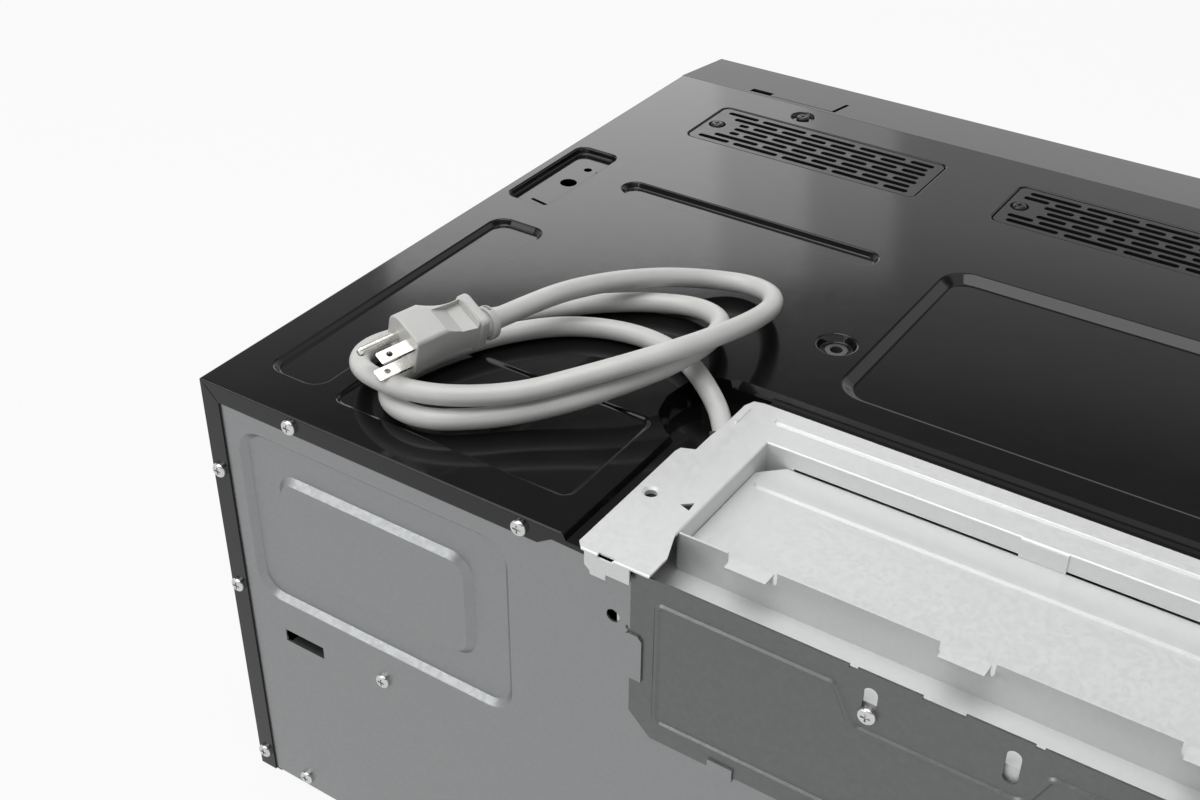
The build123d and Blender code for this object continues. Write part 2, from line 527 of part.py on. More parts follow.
# ---------------------------------------------------------------- blower
def blower_top_plate():
    """Galvanised plate over the blower with the walls of the upright duct turned down from it."""
    points = [(0, plate_depth), (plate_half - 15.0, plate_depth), (plate_half - 10.0, plate_depth - 1.2),
              (plate_notch_half, plate_depth - 6.5), (plate_notch_half, 107.0),
              (plate_notch_half + 0.9, 94.0),
              (plate_notch_half + 0.9, 82.0), (plate_half - 0.8, 79.4), (plate_half, 76.0), (plate_half, 0.5),
              (plate_half - 3.2, -rear_reach), (duct_half - 5.0, -rear_reach), (duct_half - 5.0, 11.0),
              (duct_half, 25.0), (duct_half, duct_d1), (0, duct_d1)]
    arm = lying(seen_from_above(points), top - sheet, top)
    wall_z = pan_top + 1.0
    corner_z, corner_w = duct_ledge_z + 1.0, 14.0
    arm += slab(duct_half, duct_half + sheet, duct_d0, duct_d1 + sheet, corner_z, top)
    arm += slab(0, duct_half + sheet, duct_d1, duct_d1 + sheet, wall_z, top)
    arm += slab(duct_half - corner_w, duct_half + sheet, duct_d1, duct_d1 + sheet, corner_z, top)
    x0, x1, low = duct_half + 4.3, plate_half - 4.7, top - 9.0
    rear_flange = Polygon((x0, low), (x0 + 11.5, low), (x0 + 11.5, low - 3.0), (x0 + 19.0, low - 3.0),
                          (x1 - 2.5, low - 1.0), (x1, low + 1.2), (x1, top), (x0, top), align=None)
    arm += forward(rear_flange, -rear_reach, -rear_reach + sheet)
    folds = [e for e in arm.edges() if abs(e.center().Z - top) < 0.001 and e.length > 15
             and (abs(e.center().Y - y_at(duct_d1)) < 0.001 or abs(e.center().X - duct_half) < 0.001
                  or abs(e.center().Y - y_at(-rear_reach)) < 0.001)]
    arm = fillet(folds, 0.9)
    hole_x, hole_d, mark_x, mark_d = duct_half + 24.1, 44.9, 100.0, 128.0
    arm += lying(disc(4.2, hole_x, hole_d), ledge_top, top)
    arm += lying(disc(2.6, mark_x, mark_d), ledge_top, top)
    arm -= lying(disc(2.75, hole_x, hole_d), ledge_top - 1, top + 1)
    arm -= Pos(hole_x, y_at(hole_d), top - 0.6) * Cone(2.75, 3.95, 1.2)
    pierce = [(duct_half + 3.8, 42.6), (duct_half + 9.2, 44.2), (duct_half + 4.4, 48.4)]
    arm -= lying(seen_from_above(pierce), top - 2, top + 1)
    arm -= slab(x0 + 7.8, x0 + 15.6, -rear_reach - 1, -rear_reach + 1.8, top - 1.8, top + 1)
    plate = both(arm)
    ridge = Pos(0, y_at(121.5), top) * extrude(SlotOverall(2 * (duct_half + 5.5), 6.0), 1.2, taper=40)
    ridge = fillet(ridge.faces().sort_by(Axis.Z)[-1].edges(), 0.6)
    rib = extrude(SlotOverall(14.0, 2.2), 0.8, taper=30)
    rib = Pos(plate_notch_half - 3.4, y_at(116.5), top) * Rot(0, 0, 90) * rib
    tab = slab(-9.0, 11.5, duct_d1 - 0.8, duct_d1 + sheet, pan_top + 0.1, top)
    tab = fillet(tab.edges().filter_by(Axis.X).group_by(Axis.Z)[-1].sort_by(Axis.Y)[-1], 1.5)
    return plate + ridge + both(rib) + tab


def duct_rear_wall():
    """Ledge and upright wall at the back of the duct mouth, with its folded tabs."""
    half_w = duct_half - moving_gap
    wall = slab(-half_w, half_w, 2 * sheet, duct_d0, duct_ledge_z, duct_ledge_z + sheet)
    wall += slab(-half_w, half_w, duct_d0 - sheet, duct_d0, duct_ledge_z, top - 0.5)
    for x in (96.0, 3.0, -90.0):
        wall -= forward(rect(x - 11.5, x + 11.5, top - 7.5, top + 5, 2.0), duct_d0 - 2, duct_d0 + 1)
        wall += slab(x - 9.5, x + 9.5, duct_d0 - sheet, duct_d0, top - 7.5, top - 2.4)
        wall += slab(x - 9.5, x + 9.5, duct_d0 - 7.5, duct_d0, top - 3.4, top - 2.4)
    return wall


def duct_floor_outline(inset):
    """Outline of the raised floor in the duct mouth, its front corners cut across."""
    x, d0, d1 = duct_half - moving_gap, duct_d0 + moving_gap, duct_d1 - moving_gap
    outline = seen_from_above([(-x, d0), (x, d0), (x, d1 - 10.3), (x - 10.7, d1), (10.7 - x, d1), (-x, d1 - 10.3)])
    return offset(outline, -inset, kind=Kind.INTERSECTION) if inset else outline


def blower_housing():
    """Sheet housing of the blower: inlets at its ends, outlets in front, open above into the duct floor."""
    def box(inset):
        return slab(-housing_half + inset, housing_half - inset, 2 * sheet + inset, housing_depth - inset,
                    housing_floor + inset, duct_ledge_z - inset)
    body = box(0.0) - box(sheet) - lying(duct_floor_outline(sheet), duct_ledge_z - 2 * sheet, duct_ledge_z + sheet)
    for s in (1, -1):
        body -= rod(wheel_r - 2, (s * (housing_half - 5), y_at(blower_axis_depth), blower_axis_z),
                    (s * (housing_half + 5), y_at(blower_axis_depth), blower_axis_z))
        body -= forward(rect(*sorted((s * 56, s * (housing_half - 10))), 208, 234), housing_depth - 3,
                        housing_depth + 3)
    return body - cover_hole


def duct_floor():
    """Raised pan on the blower housing, the flat floor of the duct mouth, with its pressed ridge."""
    pan = lying(duct_floor_outline(0.0), duct_ledge_z, pan_top)
    pan -= lying(duct_floor_outline(sheet), duct_ledge_z - sheet, pan_top - sheet)
    return pan + Pos(0, y_at(86.3), pan_top) * extrude(SlotOverall(2 * (duct_half - 4), 5.0), 1.2, taper=40)


def rear_cover_plate():
    """Plate over the unused rear outlet, with its pressed border and two screw slots."""
    points = [(-cover_half, cover_top), (cover_half, cover_top), (cover_half, cover_bottom + cover_chamfer),
              (cover_half - cover_chamfer, cover_bottom), (-cover_half + cover_chamfer, cover_bottom),
              (-cover_half, cover_bottom + cover_chamfer)]
    outline = Polygon(*points, align=None)
    outline = fillet(outline.vertices().group_by(Axis.Y)[-1], 3.0)
    plate = forward(outline, 0, sheet)
    inner, dip_x, dip_z = cover_half - 11.5, 34.0, 228.0
    border = [(-inner, cover_bottom + 9.5), (inner, cover_bottom + 9.5), (inner, cover_top - 11),
              (dip_x + 8, cover_top - 11), (dip_x, dip_z), (-dip_x, dip_z), (-dip_x - 8, cover_top - 11),
              (-inner, cover_top - 11)]
    field = Polygon(*border, align=None)
    field = fillet(field.vertices(), 4.5)
    bead = field - offset(field, -cover_bead_w)
    rear_face = Plane(origin=(0, y_at(0), 0), x_dir=(-1, 0, 0), z_dir=(0, 1, 0))
    plate += extrude(rear_face * bead, cover_bead_h, taper=cover_bead_draft)
    for s in (1, -1):
        plate -= forward(Pos(s * cover_slot_x, (cover_slot_z0 + cover_slot_z1) / 2) * Rot(0, 0, 90)
                         * SlotOverall(cover_slot_z1 - cover_slot_z0, cover_slot_w), -3, 3)
        plate -= slab(*sorted((s * 35, s * 38.5)), -2, 3, cover_top - 1.2, cover_top + 1)
    plate -= slab(-8.5, 8.5, -2, 3, cover_top - 1.5, cover_top + 1)
    return plate


def blower_motor():
    """Double-ended motor across the middle of the housing, on its saddle."""
    y = y_at(blower_axis_depth)
    motor = rod(motor_r, (-motor_length / 2, y, blower_axis_z), (motor_length / 2, y, blower_axis_z))
    motor = fillet(motor.edges().filter_by(GeomType.CIRCLE), 5)
    for s in (1, -1):
        end = motor_length / 2
        motor += rod(9.0, (s * (end - 1), y, blower_axis_z), (s * (end + 5), y, blower_axis_z))
    d0, d1 = blower_axis_depth - 20, blower_axis_depth + 20
    motor += slab(-26, 26, d0, d1, housing_floor + sheet, blower_axis_z - 20)
    return motor - rod(shaft_r + running, (-90, y, blower_axis_z), (90, y, blower_axis_z))


def blower_shaft():
    """Shaft through the motor that carries both wheels."""
    y = y_at(blower_axis_depth)
    return rod(shaft_r, (-housing_half + 8, y, blower_axis_z), (housing_half - 8, y, blower_axis_z))


def blower_wheel(side):
    """Squirrel-cage wheel: back plate with hub, end ring and curved blades."""
    inner = motor_length / 2 + 10
    y = y_at(blower_axis_depth)
    def ring(r_in, r_out, a, b):
        return (rod(r_out, (side * a, y, blower_axis_z), (side * b, y, blower_axis_z))
                - rod(r_in, (side * (a - 1), y, blower_axis_z), (side * (b + 1), y, blower_axis_z)))
    outer = inner + wheel_length
    wheel = ring(shaft_r, wheel_r, inner, inner + 2) + ring(shaft_r, wheel_hub_r, inner, inner + 14)
    wheel += ring(wheel_r - 5, wheel_r, outer - 3, outer)
    for i in range(blade_count):
        angle = 360 / blade_count * i
        spot = Pos(side * (inner + outer) / 2, y, blower_axis_z) * Rot(angle, 0, 0)
        wheel += spot * Pos(0, wheel_r - 4.2, 0) * Rot(35, 0, 0) * Box(wheel_length - 1, 6.0, 0.9)
    ends = [(side * x, y, blower_axis_z) for x in (inner - 1, outer + 1)]
    return wheel & rod(wheel_r, *ends)


def exhaust_duct():
    """Tray that leads the air from the blower to the grilles in the top."""
    x1, d0, d1, z0, z1 = half - 44.0, housing_depth + 3, 424.0, oven_ceiling + 2 * sheet, top - 7.0
    tray = slab(-x1, x1, d0, d1, z0, z1)
    tray -= slab(-x1 + sheet, x1 - sheet, d0 - 5, d1 - sheet, z0 + sheet, z1 + 5)
    tray += both(slab(vent_inner + 18, vent_inner + 74, 378, 392, z0 + sheet, z0 + 16))
    tray += both(slab(20, 104, 384, 398, z0 + sheet, z0 + 16))
    return tray


# ---------------------------------------------------------------- oven
def oven_cavity():
    """Enamelled liner, open in front, with its waveguide window, lamp holes and turntable hole."""
    def box(grow, front, radius):
        shape = slab(oven_x0 - grow, oven_x1 + grow, oven_back - grow, front,
                     oven_floor - grow, oven_ceiling + grow)
        shape = fillet(shape.edges().filter_by(Axis.Y), radius)
        return fillet(shape.faces().sort_by(Axis.Y)[-1].edges(), radius - 2)
    front = cabinet_depth - sheet
    liner = box(sheet, front, 12.0) - box(0.0, front + 9, 11.0)
    liner -= slab(oven_x1 - 3, oven_x1 + 3, magnetron_depth - 33, magnetron_depth + 33, 128, 180)
    for i in range(5):
        for j in range(5):
            y, z = y_at(172 + 5 * i), 182 + 5 * j
            liner -= rod(1.4, (oven_x1 - 3, y, z), (oven_x1 + 3, y, z))
    return liner - lying(disc(8.0, tray_x, tray_depth), oven_floor - 5, oven_floor + 5)


def waveguide():
    """Sheet duct from the magnetron to the window in the oven's side."""
    x0, x1, d = oven_x1 + sheet, magnetron_x, magnetron_depth
    guide = slab(x0, x1, d - 40, d + 40, 122, 205) - slab(x0 - 5, x1 - sheet, d - 39, d + 39, 123, 204)
    guide += slab(x0, x0 + sheet, d - 48, d + 48, 114, 213) - slab(x0 - 1, x0 + 2, d - 39, d + 39, 123, 204)
    return guide - rod(9.0, (x1 - 3, y_at(d), magnetron_z), (x1 + 3, y_at(d), magnetron_z))


def magnetron():
    """Valve with its cooling fins, yoke plates, filter box and antenna."""
    x, d, z = magnetron_x, magnetron_depth, magnetron_z
    y = y_at(d)
    body = slab(x, x + 48, d - 43, d + 43, z - 36, z + 36)
    body -= slab(x + 2, x + 46, d - 41, d + 41, z - 40, z + 40)
    body += rod(19.0, (x, y, z), (x + 48, y, z)) + rod(8.0, (x - 12, y, z), (x + 1, y, z))
    for i in range(5):
        body += slab(x + 9 + 7 * i, x + 9.8 + 7 * i, d - 41, d + 41, z - 32, z + 32)
    return body + slab(x + 48, x + 72, d - 33, d + 33, z - 30, z + 30)


def hv_transformer():
    """Laminated core with a welded foot."""
    core = slab(*core_x, *core_d, 4, core_top)
    for x0, x1 in coil_windows:
        core -= slab(x0, x1, core_d[0] - 1, core_d[1] + 1, 22, core_top - 18)
    return core + slab(core_x[0] - 8, core_x[1] + 8, core_d[0] + 4, core_d[1] - 4, 2, 4)


def transformer_coils():
    """Winding around the middle leg of the core."""
    x0, x1 = coil_windows[0][0] + 0.3, coil_windows[1][1] - 0.3
    coil = slab(x0, x1, core_d[0] - 16, core_d[1] + 16, 24, core_top - 20)
    coil = fillet(coil.edges().filter_by(Axis.Z), 14)
    leg = slab(coil_windows[0][1] - moving_gap, coil_windows[1][0] + moving_gap,
               core_d[0] - moving_gap, core_d[1] + moving_gap, 0, core_top)
    bands = [slab(x0 - 1, x1 + 1, 200, 500, z0, z1) for z0, z1 in ((24, 40), (43, core_top - 20))]
    return [band & coil - leg for band in bands]


def hv_capacitor():
    """Oval can with two terminals and its strap."""
    x, d = capacitor_x, capacitor_depth
    can = lying(Pos(x, y_at(d)) * Rot(0, 0, 90) * SlotOverall(52, 32), 2, 84)
    can = fillet(can.edges().group_by(Axis.Z)[-1], 2)
    for side in (-10, 10):
        can += slab(x - 0.4, x + 0.4, d + side - 3, d + side + 3, 83, 96)
    return can + lying(Pos(x, y_at(d)) * Rot(0, 0, 90) * SlotOverall(55, 35), 40, 52)


def fan_shroud():
    """Upright plate with the fan's ring and the arms that carry its motor."""
    def ring_at(r, d0, d1):
        return rod(r, (fan_x, y_at(d0), fan_z), (fan_x, y_at(d1), fan_z))
    plate = slab(fan_x - 84, fan_x + 84, fan_d, fan_d + 2, 2, fan_z + 78)
    plate += slab(fan_x - 84, fan_x + 84, fan_d, fan_d + 22, 2, 4)
    plate += ring_at(fan_r + 4, fan_d, fan_d + 20)
    plate -= ring_at(fan_r + 2, fan_d - 1, fan_d + 25)
    for i in range(3):
        arm = Rot(0, 120 * i + 30, 0) * Pos(34, 0, 0) * Box(64, 2.0, 7.0)
        plate += Pos(fan_x, y_at(fan_d + 1), fan_z) * arm
    plate += ring_at(16, fan_d, fan_d + 2)
    return plate - ring_at(7, fan_d - 1, fan_d + 3)


def cooling_fan_motor():
    """Small shaded-pole motor behind the shroud."""
    y0, y1 = y_at(fan_d - 30), y_at(fan_d)
    motor = slab(fan_x - 25, fan_x + 25, fan_d - 20, fan_d - 8, fan_z - 22, fan_z + 22)
    motor = fillet(motor.edges().filter_by(Axis.Y), 3)
    motor += rod(12.0, (fan_x, y0, fan_z), (fan_x, y1, fan_z))
    return motor - rod(fan_shaft_r + running, (fan_x, y0, fan_z), (fan_x, y1 - 5, fan_z))


def cooling_fan_blade():
    """Five-bladed fan with its shaft."""
    hub = rod(11.0, (fan_x, y_at(fan_d + 4), fan_z), (fan_x, y_at(fan_d + 18), fan_z))
    for i in range(5):
        blade = Pos(fan_x, y_at(fan_d + 11), fan_z) * Rot(0, 72 * i, 0) * Pos(31, 0, 0) * Rot(28, 0, 0)
        vane = Box(44, 1.4, 24)
        hub += blade * vane
    hub &= rod(fan_r, (fan_x, y_at(fan_d + 3.5), fan_z), (fan_x, y_at(fan_d + 19.5), fan_z))
    return hub + rod(fan_shaft_r, (fan_x, y_at(fan_d - 26), fan_z), (fan_x, y_at(fan_d + 5), fan_z))


def about_tray(profile):
    """Outline in radius and Z turned round the turntable's axis."""
    plane = Plane(origin=(tray_x, y_at(tray_depth), 0), x_dir=(1, 0, 0), z_dir=(0, -1, 0))
    return revolve(plane * profile, Axis((tray_x, y_at(tray_depth), 0), (0, 0, 1)))


def round_bar(r0, r1, z0, z1):
    """Ring about the turntable's axis."""
    return about_tray(rect(r0, r1, z0, z1))


def turntable_motor():
    """Flat motor under the oven floor."""
    motor = round_bar(0, 25, 13, oven_floor - sheet)
    motor = fillet(motor.edges().group_by(Axis.Z)[0], 2)
    z1 = oven_floor - sheet
    motor += slab(tray_x - 34, tray_x + 34, tray_depth - 6, tray_depth + 6, z1 - 2, z1)
    return motor - round_bar(0, shaft_r + running, 15, oven_floor)


def turntable_coupler():
    """Drive hub with three lobes and its stem."""
    hub = round_bar(0, 9, oven_floor + 1, oven_floor + 11) + round_bar(0, shaft_r, 17, oven_floor + 2)
    for i in range(3):
        lobe = Rot(0, 0, 120 * i) * Pos(9, 0, 0) * Box(9, 6, 10)
        hub += Pos(tray_x, y_at(tray_depth), oven_floor + 6) * lobe
    return hub


def glass_tray():
    """Rimmed glass disc with a ring of lugs under it that sits over the hub."""
    z = tray_bottom
    profile = Polygon((0, z), (tray_r - 10, z), (tray_r, z + 9), (tray_r, z + 12), (tray_r - 4, z + 12),
                      (tray_r - 13, z + tray_thick), (0, z + tray_thick), align=None)
    tray = about_tray(profile)
    return tray + round_bar(coupler_r + moving_gap, coupler_r + 4, z - 3, z)


def roller_ring():
    """Ring, spokes and stub axles under the tray."""
    z = oven_floor + roller_wheel_r + moving_gap
    ring = round_bar(roller_r - 5, roller_r + 3, z - 3, z + 3) + round_bar(24, 31, z - 3, z + 3)
    for i in range(3):
        spot = Pos(tray_x, y_at(tray_depth), z) * Rot(0, 0, 120 * i + 60)
        ring += spot * Pos(58, 0, 0) * Box(60, 7, 5)
        ring += spot * Pos(roller_r + 8, 0, 0) * Rot(0, 90, 0) * Cylinder(2.0, 14)
    return ring


def roller_wheels():
    """Three wheels on the stub axles."""
    z = oven_floor + roller_wheel_r + moving_gap
    wheels = []
    for i in range(3):
        spot = Pos(tray_x, y_at(tray_depth), z) * Rot(0, 0, 120 * i + 60)
        wheel = Cylinder(roller_wheel_r, roller_wheel_w) - Cylinder(2.05, 2 * roller_wheel_w)
        wheels.append(spot * Pos(roller_r + 9.5, 0, 0) * Rot(0, 90, 0) * wheel)
    return wheels


def cavity_lamp():
    """Bulb and its holder behind the perforated side of the oven."""
    x, y, z = oven_x1 + sheet, y_at(182), 192.0
    holder = slab(x, x + 34, 168, 196, 208, 210) + slab(x + 20, x + 34, 170, 194, 178, 210)
    holder -= rod(7.2, (x + 15, y, z), (x + 30, y, z))
    bulb = rod(9.5, (x + 3, y, z), (x + 18, y, z))
    bulb = fillet(bulb.edges().filter_by(GeomType.CIRCLE), 5)
    return holder, bulb + rod(7.0, (x + 17, y, z), (x + 30, y, z))


# ---------------------------------------------------------------- door
def door_frame():
    """Moulded frame of the door with its window, hinge bores and the pocket for the latch."""
    frame = slab(door_x0, door_x1, door_back, face_depth - door_skin, door_bottom, door_top)
    frame = fillet(frame.edges().filter_by(Axis.Y), 3)
    frame -= slab(door_x0 + 6, door_x1 - 6, door_back - 5, door_back + 12, door_bottom + 6, door_top - 6)
    frame -= slab(window_x0, window_x1, door_back - 5, face_depth, window_z0, window_z1)
    frame -= slab(hook_x - 4.5, hook_x + 4.5, door_back, door_back + 22, 46, 204)
    for z0, z1 in ((door_bottom - 1, door_bottom + 12), (door_top - 12, door_top + 1)):
        frame -= lying(disc(hinge_pin_r + running, hinge_x, hinge_depth), z0, z1)
    return frame


def door_choke_panel():
    """Folded steel pan on the oven side of the door, slotted for the hooks."""
    x0, x1, z0, z1 = door_x0 + 7, door_x1 - 7, door_bottom + 7, door_top - 7
    pan = slab(x0, x1, door_back, door_back + 12, z0, z1)
    pan -= slab(x0 + sheet, x1 - sheet, door_back + sheet, door_back + 13, z0 + sheet, z1 - sheet)
    pan += slab(window_x0 - 6, window_x1 + 6, door_back, door_back + 11, window_z0 - 6, window_z1 + 6)
    pan -= slab(window_x0 - 4, window_x1 + 4, door_back + sheet, door_back + 12,
                window_z0 - 4, window_z1 + 4)
    pan -= slab(window_x0 + 4, window_x1 - 4, door_back - 5, door_back + 12, window_z0 + 4, window_z1 - 4)
    slot_half = hook_w / 2 + moving_gap
    for z in hook_z:
        pan -= slab(hook_x - slot_half, hook_x + slot_half, door_back - 5, door_back + 5, z - 9, z + 9)
    return pan


def door_screen():
    """Perforated shield across the window, seen through the glass."""
    return slab(window_x0 - 3.5, window_x1 + 3.5, door_back + sheet, door_back + 2 * sheet, window_z0 - 3.5,
                window_z1 + 3.5)


def door_glass():
    """Outer pane over the whole door."""
    pane = slab(door_x0, door_x1, face_depth - door_skin, face_depth, door_bottom, door_top)
    pane = fillet(pane.edges().filter_by(Axis.Y), 3)
    pane = chamfer(pane.faces().sort_by(Axis.Y)[0].edges(), 0.8)
    for z in handle_post_z:
        pane -= forward(Pos(handle_x, z) * Circle(handle_post + 0.2), face_depth - 10, face_depth + 10)
    return pane


def door_handle():
    """Upright bar on two posts."""
    d1 = face_depth + handle_reach
    bar = slab(handle_x - handle_w / 2, handle_x + handle_w / 2, d1 - handle_t, d1, handle_z0, handle_z1)
    bar = fillet(bar.edges().filter_by(Axis.Y), 7)
    bar = fillet(bar.faces().sort_by(Axis.Y)[0].edges(), 3)
    for z in handle_post_z:
        bar += forward(Pos(handle_x, z) * Circle(handle_post), face_depth - door_skin, d1 - handle_t / 2)
    return bar


def latch_hooks():
    """Sliding bar in the door with the two hooks that reach into the cabinet."""
    bar = slab(hook_x - 3.5, hook_x + 3.5, door_back + 14, door_back + 20, 52, 196)
    for z in hook_z:
        hook = Polygon((door_back + 15, z + 4), (hook_tip, z + 4), (hook_tip, z - 4), (hook_tip + 2, z - 8),
                       (hook_tip + 8, z - 8), (hook_tip + 8, z - 4), (door_back + 15, z - 4), align=None)
        bar += across(hook, hook_x - hook_w / 2, hook_x + hook_w / 2)
    return bar


def hinge_brackets():
    """Plates that carry the hinge pins, one under and one over the door."""
    plates = []
    for z0, z1 in hinge_plates:
        plate = slab(hinge_x - 4.5, hinge_x1, cabinet_depth - 14, face_depth - 0.5, z0, z1)
        plates.append(plate - lying(disc(hinge_pin_r, hinge_x, hinge_depth), z0 - 1, z1 + 1))
    return plates


def hinge_pins():
    """Pins through the brackets into the door."""
    y = y_at(hinge_depth)
    spans = ((hinge_plates[0][0], door_bottom + 10), (door_top - 10, hinge_plates[1][1]))
    return [rod(hinge_pin_r, (hinge_x, y, z0), (hinge_x, y, z1)) for z0, z1 in spans]


def interlock_bracket():
    """Bracket behind the frame that carries the door switches."""
    low, high = hook_z[0] - 18, hook_z[1] + 18
    x0 = hook_x + 26.0
    plate = slab(x0, x0 + 1.5, 416, cabinet_depth - sheet, low, high)
    return plate + slab(x0, x0 + 16, cabinet_depth - sheet - 1.5, cabinet_depth - sheet, low, high)


def interlock_switches():
    """Door switches beside the hooks."""
    switches = []
    for z in hook_z:
        case = slab(hook_x + 12, hook_x + 26, 422, 446, z - 14, z + 14)
        case += slab(hook_x + 14, hook_x + 20, 424, 430, z - 20, z - 13)
        switches.append(case + slab(hook_x + 9.5, hook_x + 13, 440, 444, z - 3, z + 3))
    return switches


# ---------------------------------------------------------------- controls
def control_panel():
    """Moulded box beside the door with the apertures for the display and the keys."""
    x1, z0, z1 = half - sheet, 2.0, 243.0
    shell = slab(panel_x0, x1, cabinet_depth, face_depth, z0, z1)
    shell = fillet(shell.faces().sort_by(Axis.Y)[0].edges(), 1.2)
    shell -= slab(panel_x0 + panel_wall, x1 - panel_wall, cabinet_depth - 5, face_depth - panel_wall,
                  z0 + panel_wall, z1 - panel_wall)
    for x in (board_x0 + 4, board_x1 - 4):
        for z in (24, 226):
            shell += forward(Pos(x, z) * Circle(4.0), board_depth + board_thick, face_depth - panel_wall)
    shell -= slab(display_x0, display_x1, 480, 500, display_z0, display_z1)
    shell -= slab(display_x0, display_x1, face_depth - 0.6, 500, keypad_z0, keypad_z1)
    for x0, x1 in key_spans.values():
        shell -= slab(x0 - key_fit, x1 + key_fit, 480, 500, key_z0 - key_fit, key_z1 + key_fit)
    return shell


def display_window():
    """Dark window over the display, held from behind."""
    fit = 0.3
    pane = slab(display_x0 + fit, display_x1 - fit, face_depth - 3, face_depth - fit,
                display_z0 + fit, display_z1 - fit)
    return pane + slab(display_x0 - 3, display_x1 + 3, face_depth - 5, face_depth - panel_wall,
                       display_z0 - 3, display_z1 + 3)


def keypad():
    """Membrane with its raised pads."""
    sheet_d = face_depth - 0.6
    pad = slab(display_x0 + 0.3, display_x1 - 0.3, sheet_d, sheet_d + 0.7, keypad_z0 + 0.3, keypad_z1 - 0.3)
    for i in range(3):
        for j in range(5):
            x, z = (display_x0 + display_x1) / 2 + 40.0 * (i - 1), keypad_z0 + 12.0 + 24.0 * j
            pad += slab(x - 15, x + 15, sheet_d + 0.6, sheet_d + 1.1, z - 8, z + 8)
    return pad


def push_key(name):
    """Travelling key with the shoulder that keeps it behind the panel."""
    x0, x1 = key_spans[name]
    cap = slab(x0, x1, face_depth - 6, face_depth + key_proud, key_z0, key_z1)
    cap = fillet(cap.faces().sort_by(Axis.Y)[0].edges(), 0.8)
    inner = face_depth - panel_wall - moving_gap
    return cap + slab(x0 - 2.5, x1 + 2.5, inner - 3, inner, key_z0 - 2.5, key_z1 + 2.5)


def control_board():
    """Circuit board with its display module, relays, transformer and key switches."""
    d = board_depth + board_thick
    board = slab(board_x0, board_x1, board_depth, d, 16, 234)
    pieces = [board, slab(display_x0 + 2, display_x1 - 2, d, face_depth - 6, display_z0, display_z1)]
    for x0, x1 in key_spans.values():
        x = (x0 + x1) / 2
        pieces.append(slab(x - 4, x + 4, d, face_depth - 11, 36, 44))
    for x, w, reach, z0, z1 in ((12, 24, 15, 60, 86), (44, 28, 14, 62, 82), (86, 40, 16.5, 60, 96),
                                (38, 28, 4, 130, 158)):
        pieces.append(slab(board_x0 + x, board_x0 + x + w, board_depth - reach, board_depth, z0, z1))
    return pieces


# ---------------------------------------------------------------- underside
def grease_filter(side):
    """Pressed frame with its expanded mesh and pull tab."""
    x, z0 = side * filter_x, filter_lift
    z1 = z0 + filter_thick
    body = slab(x - filter_half_w, x + filter_half_w, filter_d0, filter_d1, z0, z1)
    body -= slab(x - filter_half_w + 7, x + filter_half_w - 7, filter_d0 + 7, filter_d1 - 7, z0 - 1, z1 + 1)
    for i in range(-7, 8):
        body += slab(x + 13 * i - 0.7, x + 13 * i + 0.7, filter_d0 + 6, filter_d1 - 6, z0 + 3, z0 + 5)
    for j in range(8):
        d = filter_d0 + 14 + 12 * j
        body += slab(x - filter_half_w + 6, x + filter_half_w - 6, d - 0.7, d + 0.7, z0 + 3, z0 + 5)
    return body - slab(x - 13, x + 13, filter_d1 - 5, filter_d1 + 1, z0 - 1, z0 + 2.5)


def lamp_lenses():
    """Clear lenses of the cooktop lamps, set in the base."""
    lenses = []
    for s in (1, -1):
        x = s * lens_x
        lens = slab(x - lens_half_w + 0.3, x + lens_half_w - 0.3, lens_d0 + 0.3, lens_d1 - 0.3, sheet, 3)
        rim = slab(x - lens_half_w - 4, x + lens_half_w + 4, lens_d0 - 4, lens_d1 + 4, 2 * sheet, 4)
        lenses.append(lens + rim)
    return lenses


# ---------------------------------------------------------------- cord and plug
route = [Vector(x, y_at(d), z) for x, d, z in cord_route]


def cord_radii():
    """Bend radius at each inner corner of the route, from its shorter run and its turn."""
    radii = []
    for a, b, c in zip(route, route[1:], route[2:]):
        turn = math.radians((b - a).get_angle(c - b))
        radii.append(0.45 * min((b - a).length, (c - b).length) / math.tan(turn / 2))
    return radii


def power_cord():
    """Round cord swept along its route."""
    radii = cord_radii()
    path = FilletPolyline(*route, radius=radii)
    tube = sweep(Plane(origin=route[0], z_dir=route[1] - route[0]) * Circle(cord_d / 2), path=path)
    print(f"cord: {path.length:.0f} mm long, least bend radius {min(radii):.1f} mm,"
          f" least gap to itself {self_gap(path):.2f} mm")
    print(f"cord: volume {tube.volume:.0f} mm3, section times length"
          f" {math.pi * (cord_d / 2) ** 2 * path.length:.0f} mm3")
    return tube


def self_gap(path, step=2.0, skip=36.0):
    """Least gap between stretches of the cord that lie further apart than skip along it."""
    count = int(path.length / step)
    spots = [path.position_at(i / count) for i in range(count + 1)]
    nearest = min((spots[i] - spots[j]).length for i in range(count + 1)
                  for j in range(i + int(skip / step), count + 1, 1))
    return nearest - cord_d


turn, roll, dip = math.radians(plug_turn), math.radians(plug_roll), math.radians(plug_dip)
pins_out = Vector(math.cos(turn) * math.cos(dip), math.sin(turn) * math.cos(dip), -math.sin(dip))
plug_side = Vector(math.sin(turn), -math.cos(turn), 0)
plug_wide = plug_side * math.cos(roll) + plug_side.cross(pins_out) * math.sin(roll)
plug_place = (plug_face[0], y_at(plug_face[1]), plug_face[2])
plug_plane = Plane(origin=plug_place, x_dir=plug_wide, z_dir=pins_out * -1)


